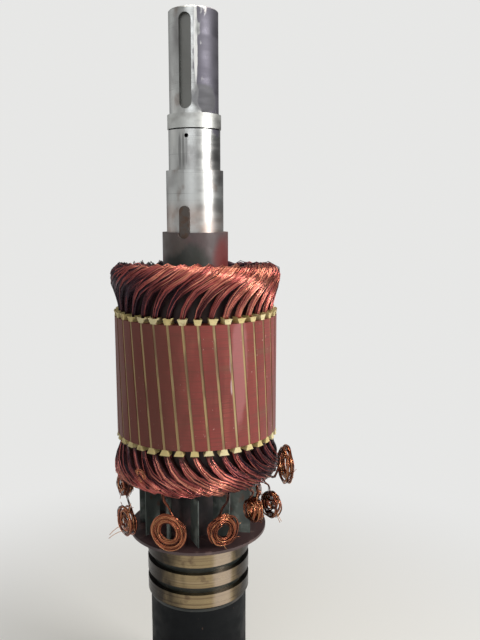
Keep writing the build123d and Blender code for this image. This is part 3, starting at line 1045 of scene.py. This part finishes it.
@dataclass
class Lead:
    """A lead of the winding: a bundle of wires that drops from a coil nose and is wound up.

    Its own sizes come first, and the rest is how any lead's coil is laid and how its wires shine.
    """

    number: int
    drop: tuple[Point, Point, Point]
    centre: Point
    facing: float
    outside: float
    inside: float
    thickness: float
    length: float
    hank: Hank = Hank.TANGLED
    wound: int = 1
    diameter: float = 0.005
    strand: float = 0.0012
    strands: int = 6
    points_to_turn: int = 14
    bore_margin: float = 0.0022
    rim_margin: float = 0.0026
    turn_pitch: float = 0.0036
    spiky_pitch: float = 0.005
    spiky_share: float = 0.88
    spiky_bulge: float = 0.001
    spiky_gap: float = 0.0022
    nesting: float = 0.0004
    entry: Span = (0.86, 0.22)
    first_angle: float = 62.0
    turn_shift: float = 0.0013
    radius_shake: float = 0.0004
    face_shake: float = 0.0006
    twist: float = 26.0
    lay_radius: float = 0.0015
    breathing: Span = (0.0003, 0.0004)
    breaths: float = 150.0
    own_tones: Span = (0.05, 1.0)
    drop_shade_tone: float = 0.25
    drop_shade_fade: float = 12.0
    ripple: float = 0.22
    ripples: float = 0.21
    line_seed: int = 100
    wire_seed: int = 200

    def axes(self) -> tuple[Vector, Vector, Vector]:
        """The directions of the coil: out of its face, up, and to the side that it is wound towards."""
        face, up = polar(1.0, self.facing, 0.0), Vector((0.0, 0.0, 1.0))
        return face, up, up.cross(face) * self.wound

    def turns(self) -> list[tuple[float, float]]:
        """The turns of the coil, layer by layer from the back.

        Returns:
            The radius of each turn and how far it lies towards the coil's face.
        """
        low, high = self.inside / 2 + self.bore_margin, self.outside / 2 - self.rim_margin
        half = self.thickness / 2
        pitch, layers = self.turn_pitch, (self.rim_margin - half, half - self.rim_margin)
        if self.hank is Hank.SPIKY:
            high *= self.spiky_share
            pitch = self.spiky_pitch
            layers = (-half - self.spiky_bulge, -self.spiky_gap, self.spiky_gap, half + self.spiky_bulge)
        count = max(int((high - low) / pitch), 1) + 1
        inward = [high - (high - low) * index / (count - 1) for index in range(count)]
        outward = [radius - self.nesting for radius in reversed(inward)]
        return [
            (radius, layer)
            for number, layer in enumerate(layers) for radius in (outward if number % 2 else inward)
        ]

    def line(self) -> list[Vector]:
        """The control points of the lead.

        Returns:
            The points of its drop, and then those of its turns.
        """
        rng = random.Random(self.line_seed + self.number)
        face, up, side = self.axes()
        centre = Vector(self.centre)
        turns = self.turns()
        first, layer = turns[0]
        high, aside = self.entry
        points = [Vector(point) for point in self.drop]
        points.append(centre + up * first * high + side * first * aside + face * layer)
        loose = self.hank.value
        steps = self.points_to_turn
        shifts = [tuple(rng.gauss(0.0, self.turn_shift) * loose for _ in range(2)) for _ in turns]
        for index in range(steps * len(turns)):
            turn, share = divmod(index, steps)
            here, there = turns[turn], turns[min(turn + 1, len(turns) - 1)]
            blend = (share / steps) ** 2
            radius, out = (now + (then - now) * blend for now, then in zip(here, there))
            angle = math.radians(self.first_angle + 360.0 * index / steps)
            sway, lift = shifts[turn]
            radius += rng.gauss(0.0, self.radius_shake) * loose
            out += rng.gauss(0.0, self.face_shake) * loose
            spot = centre + up * (math.cos(angle) * radius + lift) + side * (math.sin(angle) * radius + sway)
            points.append(spot + face * out)
        return points

    def centreline(self) -> list[Vector]:
        """Points read from the lead's smooth line.

        Returns:
            The points, in order from the winding.
        """
        controls = self.line()
        curve = bpy.data.curves.new(f"lead_{self.number:02d}_line", "CURVE")
        curve.dimensions = "3D"
        curve.resolution_u = 3
        spline = curve.splines.new("NURBS")
        spline.points.add(len(controls) - 1)
        for spot, control in zip(spline.points, controls):
            spot.co = (*control, 1.0)
        spline.order_u = 3
        spline.use_endpoint_u = True
        mesh = curve_mesh(curve)
        points = [vertex.co.copy() for vertex in mesh.vertices]
        bpy.data.meshes.remove(mesh)
        return points

    def build(self) -> Piece:
        """Returns:
            The mesh object of the lead.
        """
        rng = random.Random(self.wire_seed + self.number)
        points = self.centreline()
        wires: list[list[Vector]] = [[] for _ in range(self.strands)]
        phases = [rng.uniform(0.0, PHASES) for _ in wires]
        across = Vector((1.0, 0.0, 0.0))
        travelled = 0.0
        steady, extra = self.breathing
        breath = steady + extra * self.hank.value
        last = len(points) - 1
        for index, point in enumerate(points):
            ahead = heading(points, index).normalized()
            across = (across - ahead * across.dot(ahead)).normalized()
            over = ahead.cross(across)
            travelled += (point - points[max(index - 1, 0)]).length
            for number, (wire, phase) in enumerate(zip(wires, phases)):
                turn = 2 * math.pi * number / self.strands + self.twist * travelled
                spread = self.lay_radius + breath * math.sin(phase + self.breaths * travelled)
                wire.append(point + across * math.cos(turn) * spread + over * math.sin(turn) * spread)
        # Painted shade where each lead drops from under the winding, brightening towards its coil
        out_of_shade = [min(self.drop_shade_tone + self.drop_shade_fade * index / last, 1.0) for index in range(last + 1)]
        tones = []
        for phase in phases:
            own = rng.uniform(*self.own_tones)
            tones.append([
                clamp(own * rise + self.ripple * math.sin(phase + self.ripples * index))
                for index, rise in enumerate(out_of_shade)
            ])
        name = f"lead_{self.number:02d}"
        piece = settle(wires_mesh(name, wires, self.strand, tones), LEAD_COPPER)
        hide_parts(f"lead_tail_{self.number:02d}", f"lead_coil_{self.number:02d}")
        measured = sum((b - a).length for a, b in zip(points, points[1:]))
        log.info("%s: %.3f m long as laid, %.3f m stated", name, measured, self.length)
        return piece


LEADS = [
    Lead(
        1, ((-0.052, -0.1215, 0.5077), (-0.052, -0.1215, 0.4958), (-0.0436, -0.1198, 0.4845)),
        (-0.0436, -0.1198, 0.4373), -20.0, 0.07, 0.032, 0.012, 1.29, Hank.NEAT,
    ),
    Lead(
        2, ((0.0596, -0.118, 0.5077), (0.0596, -0.118, 0.4943), (0.0506, -0.1137, 0.4817)),
        (0.0506, -0.1137, 0.438), 30.0, 0.06, 0.024, 0.012, 1.07, Hank.TANGLED, -1,
    ),
    Lead(
        3, ((0.0964, -0.0905, 0.5077), (0.0964, -0.0905, 0.5015), (0.1034, -0.0899, 0.4965)),
        (0.1034, -0.0899, 0.465), 120.0, 0.05, 0.02, 0.012, 0.82, Hank.SPIKY,
    ),
    Lead(
        4, ((0.1215, -0.052, 0.5077), (0.1215, -0.052, 0.4996), (0.1335, -0.0512, 0.4944)),
        (0.1335, -0.0512, 0.459), 128.0, 0.054, 0.02, 0.012, 0.87, Hank.SPIKY, -1,
    ),
    Lead(
        5, ((0.132, -0.0073, 0.5077), (0.132, -0.0073, 0.496), (0.1464, -0.0012, 0.485)),
        (0.164, 0.0029, 0.514), 103.0, 0.076, 0.04, 0.012, 1.49, Hank.TANGLED,
    ),
    Lead(
        6, ((0.0905, 0.0964, 0.5077), (0.0905, 0.0964, 0.4939), (0.0981, 0.0883, 0.4811)),
        (0.0981, 0.0883, 0.435), 132.0, 0.064, 0.028, 0.012, 1.17, Hank.TANGLED, -1,
    ),
    Lead(
        7, ((0.0302, 0.1287, 0.5077), (0.0302, 0.1287, 0.4947), (0.027, 0.1272, 0.4816)),
        (0.027, 0.1272, 0.4353), 158.0, 0.066, 0.03, 0.012, 1.21, Hank.NEAT,
    ),
    Lead(
        8, ((-0.0792, 0.1058, 0.5077), (-0.0792, 0.1058, 0.4941), (-0.0861, 0.1026, 0.4809)),
        (-0.0861, 0.1026, 0.435), -130.0, 0.064, 0.028, 0.012, 1.17, Hank.TANGLED,
    ),
    Lead(
        9, ((-0.132, 0.0073, 0.5077), (-0.132, 0.0073, 0.5012), (-0.1382, 0.0145, 0.4968)),
        (-0.1382, 0.0145, 0.468), -56.0, 0.044, 0.018, 0.014, 0.74, Hank.SPIKY, -1,
    ),
    Lead(
        10, ((-0.118, -0.0596, 0.5077), (-0.118, -0.0596, 0.4924), (-0.124, -0.0605, 0.4769)),
        (-0.124, -0.0605, 0.4323), -54.0, 0.058, 0.022, 0.014, 1.03, Hank.TANGLED,
    ),
]


@dataclass
class LooseEnds:
    """Single wires that have sprung out of the leads' coils, and a few loops on the lower winding.

    Pairs of numbers are the ranges that a wire's own sizes are drawn from.
    """

    seed: int = 41
    wire: float = 0.0011
    tones: Span = (0.6, 1.0)
    to_coil: int = 5
    sections: int = 7
    ring: Span = (0.62, 0.95)
    rim_margin: float = 0.004
    seat: Span = (-0.3, 0.5)
    reach: Span = (0.006, 0.013)
    run: float = 2.2
    outward: Span = (0.1, 0.6)
    forward: Span = (-0.2, 0.7)
    loops: int = 6
    loop_place: Point = (0.1498, -37.0, 0.537)
    loop_points: int = 19
    loop_share: float = 0.92
    loop_across: Span = (0.007, 0.012)
    loop_tall: Span = (0.006, 0.011)
    loop_shift: Span = (-0.004, 0.004)
    loop_slant: float = 0.5
    loop_sink: float = 0.0016
    loop_wave: float = 0.0012
    loop_waves: int = 3
    arch: float = 0.002
    arch_shares: Span = (0.3, 0.7)
    strays: tuple[tuple[Point, Point], ...] = (
        ((-0.13, -0.078, 0.419), (-0.157, -0.066, 0.399)),
        ((-0.134, -0.074, 0.426), (-0.1545, -0.07, 0.408)),
        ((-0.118, -0.079, 0.45), (-0.113, -0.081, 0.472)),
    )

    def sprung(self, lead: Lead, rng: random.Random) -> list[Vector]:
        """One wire that leaves a coil along its rim and springs outwards.

        Args:
            lead: The lead it belongs to.
            rng: The source of variation.

        Returns:
            The wire's points.
        """
        face, up, side = lead.axes()
        angle = rng.uniform(0.0, 2 * math.pi)
        ring = rng.uniform(*self.ring) * (lead.outside / 2 - self.rim_margin)
        spoke = up * math.cos(angle) + side * math.sin(angle)
        along = side * math.cos(angle) - up * math.sin(angle)
        start = Vector(lead.centre) + spoke * ring + face * rng.uniform(*self.seat) * lead.thickness
        reach, out, lift = (rng.uniform(*span) for span in (self.reach, self.outward, self.forward))
        points = []
        for share in (index / self.sections for index in range(self.sections + 1)):
            spot = start + along * (self.run * reach * share)
            points.append(spot + spoke * (reach * out * share ** 2) + face * (reach * lift * share ** 2))
        return points

    def loop(self, rng: random.Random) -> list[Vector]:
        """One small loop of wire that lies on the outside of the lower winding.

        Args:
            rng: The source of variation.

        Returns:
            The loop's points.
        """
        radius, angle, height = self.loop_place
        ranges = (self.loop_across, self.loop_tall, self.loop_shift, (0.0, PHASES))
        across, tall, shift, turn = (rng.uniform(*span) for span in ranges)
        points = []
        for index in range(self.loop_points):
            where = turn + index / self.loop_points * 2 * math.pi * self.loop_share
            swing = math.degrees((across * math.cos(where) + shift) / radius)
            lift = tall * math.sin(where) - self.loop_slant * across * math.cos(where)
            out = radius - self.loop_sink + self.loop_wave * math.sin(self.loop_waves * where)
            points.append(polar(out, angle + swing, height + lift))
        return points

    def build(self) -> Piece:
        """Lays all the loose wires.

        Returns:
            The mesh object of the loose wires.
        """
        rng = random.Random(self.seed)
        wires = []
        for lead in LEADS:
            if lead.hank is not Hank.NEAT:
                wires += [self.sprung(lead, rng) for _ in range(round(self.to_coil * lead.hank.value))]
        wires += [self.loop(rng) for _ in range(self.loops)]
        for start, end in self.strays:
            near, far, arch = Vector(start), Vector(end), Vector((0.0, 0.0, self.arch))
            wires.append([near, *(near.lerp(far, share) + arch for share in self.arch_shares), far])
        tones = [[rng.uniform(*self.tones)] * len(wire) for wire in wires]
        return settle(wires_mesh("loose_wire_ends", wires, self.wire, tones), LEAD_COPPER)


@dataclass
class ShadeSheet:
    """A near-black sheet of painted shade between the outer and the inner layer of the coil ends at one
    end, which darkens the gaps between the bundles.

    Its free edge waves, by the product of two waves with these counts round the core.
    """

    end: End
    radius: float = 0.1252
    start: float = 0.001
    height: float = 0.058
    sheet: float = 0.0006
    sides: int = 144
    wave: float = 0.0025
    waves: tuple[int, int] = (11, 4)
    fold_angle: float = 40.0

    def build(self) -> Piece:
        """Wraps the sheet round and lets its free edge wave a little.

        Returns:
            The mesh object of the band.
        """
        bpy.ops.object.select_all(action="DESELECT")
        middle = self.end.base + self.end.value * (self.start + self.height / 2)
        bpy.ops.mesh.primitive_cylinder_add(
            vertices=self.sides, radius=self.radius, depth=self.height, end_fill_type="NOTHING",
            location=(0.0, 0.0, middle),
        )
        piece = bpy.context.object
        piece.name = f"{self.end.label}_shading_sheet"
        bpy.ops.object.transform_apply(location=True, rotation=True, scale=True)
        many, few = self.waves
        for vertex in piece.data.vertices:
            rise = abs(vertex.co.z - self.end.base) / self.height
            angle = math.atan2(vertex.co.y, vertex.co.x)
            ripple = 1.0 + math.sin(many * angle) * math.cos(few * angle)
            vertex.co.z -= self.end.value * rise * self.wave * ripple
        shell = piece.modifiers.new("sheet", "SOLIDIFY")
        shell.thickness = self.sheet
        bpy.ops.object.modifier_apply(modifier=shell.name)
        bpy.ops.object.shade_smooth_by_angle(angle=math.radians(self.fold_angle))
        return settle(piece, SHADE_SHEET_BLACK)


@dataclass(frozen=True)
class Lamp:
    """A square soft light, with its side in metres and its power in watts."""

    name: str
    place: Point
    target: Point
    size: float
    power: float
    colour: Colour

    def build(self) -> None:
        """Hangs the lamp so that it faces its target."""
        data = bpy.data.lights.new(self.name, "AREA")
        data.size = self.size
        data.energy = self.power
        data.color = self.colour
        lamp = link(bpy.data.objects.new(self.name, data))
        lamp.location = self.place
        aim = Vector(self.target) - Vector(self.place)
        lamp.rotation_euler = aim.to_track_quat("-Z", "Y").to_euler()


@dataclass
class Studio:
    """The floor, the lights and the camera.

    The room is what metal mirrors: the brightness at each angle in degrees from the front, with the two
    ends of the scale first.
    """

    camera_place: Point = (0.0792, -1.25, 0.983)
    camera_pitch: float = 8.92
    lens: float = 39.375
    sensor: float = 36.0
    nearest: float = 0.02
    floor_size: float = 16.0
    floor_colour: Colour = (0.8, 0.8, 0.78)
    floor_roughness: float = 0.9
    floor_fade: Span = (0.25, 1.3)
    backdrop: Colour = (0.8, 0.8, 0.79)
    sky: Colour = (0.9, 0.95, 1.0)
    sky_strength: float = 0.22
    room: tuple[Span, ...] = (
        (-180.0, 0.25), (180.0, 0.25), (-145.0, 0.4), (-115.0, 0.9), (-95.0, 0.92), (-78.0, 0.54),
        (-50.0, 0.56), (-28.0, 0.85), (2.0, 0.85), (14.0, 0.55), (22.0, 0.28), (32.0, 0.6), (60.0, 0.7),
        (80.0, 0.2), (120.0, 0.12), (150.0, 0.16),
    )
    lamps: tuple[Lamp, ...] = (
        Lamp("window", (1.75, -1.05, 1.35), (0.0, 0.0, 0.75), 0.68, 30.0, (1.0, 0.98, 0.95)),
        Lamp("ceiling", (0.3, 0.5, 2.6), (0.0, 0.0, 0.7), 1.1, 30.0, (1.0, 0.93, 0.82)),
        Lamp("front", (-0.4, -2.3, 1.9), (0.0, 0.0, 0.7), 1.2, 9.0, (0.95, 0.97, 1.0)),
    )

    def camera(self) -> None:
        """Sets the camera to the photograph's view."""
        data = bpy.data.cameras.new("camera")
        data.lens = self.lens
        data.sensor_width = self.sensor
        data.clip_start = self.nearest
        eye = link(bpy.data.objects.new("camera", data))
        eye.location = self.camera_place
        eye.rotation_euler = (math.radians(90.0 - self.camera_pitch), 0.0, 0.0)
        bpy.context.scene.camera = eye

    def floor(self) -> None:
        """Lays a wide plain floor that fades into the backdrop."""
        bpy.ops.object.select_all(action="DESELECT")
        bpy.ops.mesh.primitive_plane_add(size=self.floor_size, location=(0.0, 0.0, 0.0))
        floor = bpy.context.object
        floor.name = "floor"
        graph = Surface("floor")
        graph.put(graph.shader.inputs["Base Color"], self.floor_colour)
        graph.put(graph.shader.inputs["Roughness"], self.floor_roughness)
        pale = graph.node("Emission", Color=self.backdrop)
        rays = graph.node("LightPath").outputs
        seen = graph.math("MAXIMUM", rays["Is Camera Ray"], rays["Is Glossy Ray"])
        share = graph.times(seen, graph.ramp(graph.radius(), *self.floor_fade))
        shown = graph.blend(share, graph.shader.outputs["BSDF"], pale.outputs["Emission"])
        graph.put(graph.output.inputs["Surface"], shown)
        floor.data.materials.append(graph.material)

    def world(self) -> None:
        """Sets a dim even sky that shows pale behind the rotor, and as a room in its metal."""
        world = bpy.data.worlds.new("sky")
        world.use_nodes = True
        graph = Graph(world.node_tree)
        direction = graph.node("SeparateXYZ", Vector=graph.node("TexCoord").outputs["Generated"]).outputs
        around = graph.math("ARCTAN2", direction["X"], graph.times(direction["Y"], -1.0))
        share = graph.node("MapRange", Value=around, From_Min=-math.pi, From_Max=math.pi)
        room = graph.node("ValToRGB", Fac=share.outputs["Result"])
        stops = room.color_ramp.elements
        for index, (angle, level) in enumerate(self.room):
            # The scale has two stops of its own, and each further one starts beside the last and moves
            stop = stops[index] if index < 2 else stops.new(0.999)
            stop.position = 0.5 + angle / 360.0
            stop.color = (level, level, level, 1.0)
        lit, mirrored, seen = (
            graph.node("Background", Color=colour, Strength=strength).outputs["Background"]
            for colour, strength in (
                (self.sky, self.sky_strength), (self.backdrop, room.outputs["Color"]), (self.backdrop, 1.0)
            )
        )
        rays = graph.node("LightPath").outputs
        metal = graph.blend(rays["Is Glossy Ray"], lit, mirrored)
        graph.node("OutputWorld", Surface=graph.blend(rays["Is Camera Ray"], metal, seen))
        bpy.context.scene.world = world

    def build(self) -> None:
        """Sets up everything round the rotor."""
        bpy.context.scene.view_settings.view_transform = "Standard"
        self.camera()
        self.floor()
        self.world()
        for lamp in self.lamps:
            lamp.build()


def dress_nodes() -> None:
    """Gives every solid of the frame its finish."""
    made: dict[str, bpy.types.Material] = {}
    for name, finish in NODE_FINISHES.items():
        if finish.name not in made:
            made[finish.name] = finish.build()
        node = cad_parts[name]
        node.data.materials.clear()
        node.data.materials.append(made[finish.name])
        log.info("%s: %s", name, finish.name)


def main() -> None:
    """Builds the rotor's looks, sub-assembly by sub-assembly."""
    logging.basicConfig(level=logging.INFO, format="%(message)s")
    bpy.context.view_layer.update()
    Studio().build()
    dress_nodes()
    lower_painted_light = Shine(
        bright_side=-0.1, bright_power=3.0, contrast=0.64, darkness=0.2, crest_highlight=0.0, crest_shade=-0.22
    )
    for part in (
        *LEADS,
        Winding(End.UPPER, overhang=0.088, seed=11, crest_tilt=0.008),
        Winding(End.LOWER, overhang=0.082, seed=12, shine=lower_painted_light),
        LooseEnds(),
        ShadeSheet(End.UPPER), ShadeSheet(End.LOWER),
        Cuffs(End.UPPER, seed=21), Cuffs(End.LOWER, seed=22),
    ):
        piece = part.build()
        log.info("%s: %d faces", piece.name, len(piece.data.polygons))
    bpy.context.view_layer.update()


if __name__ == "__main__":
    main()
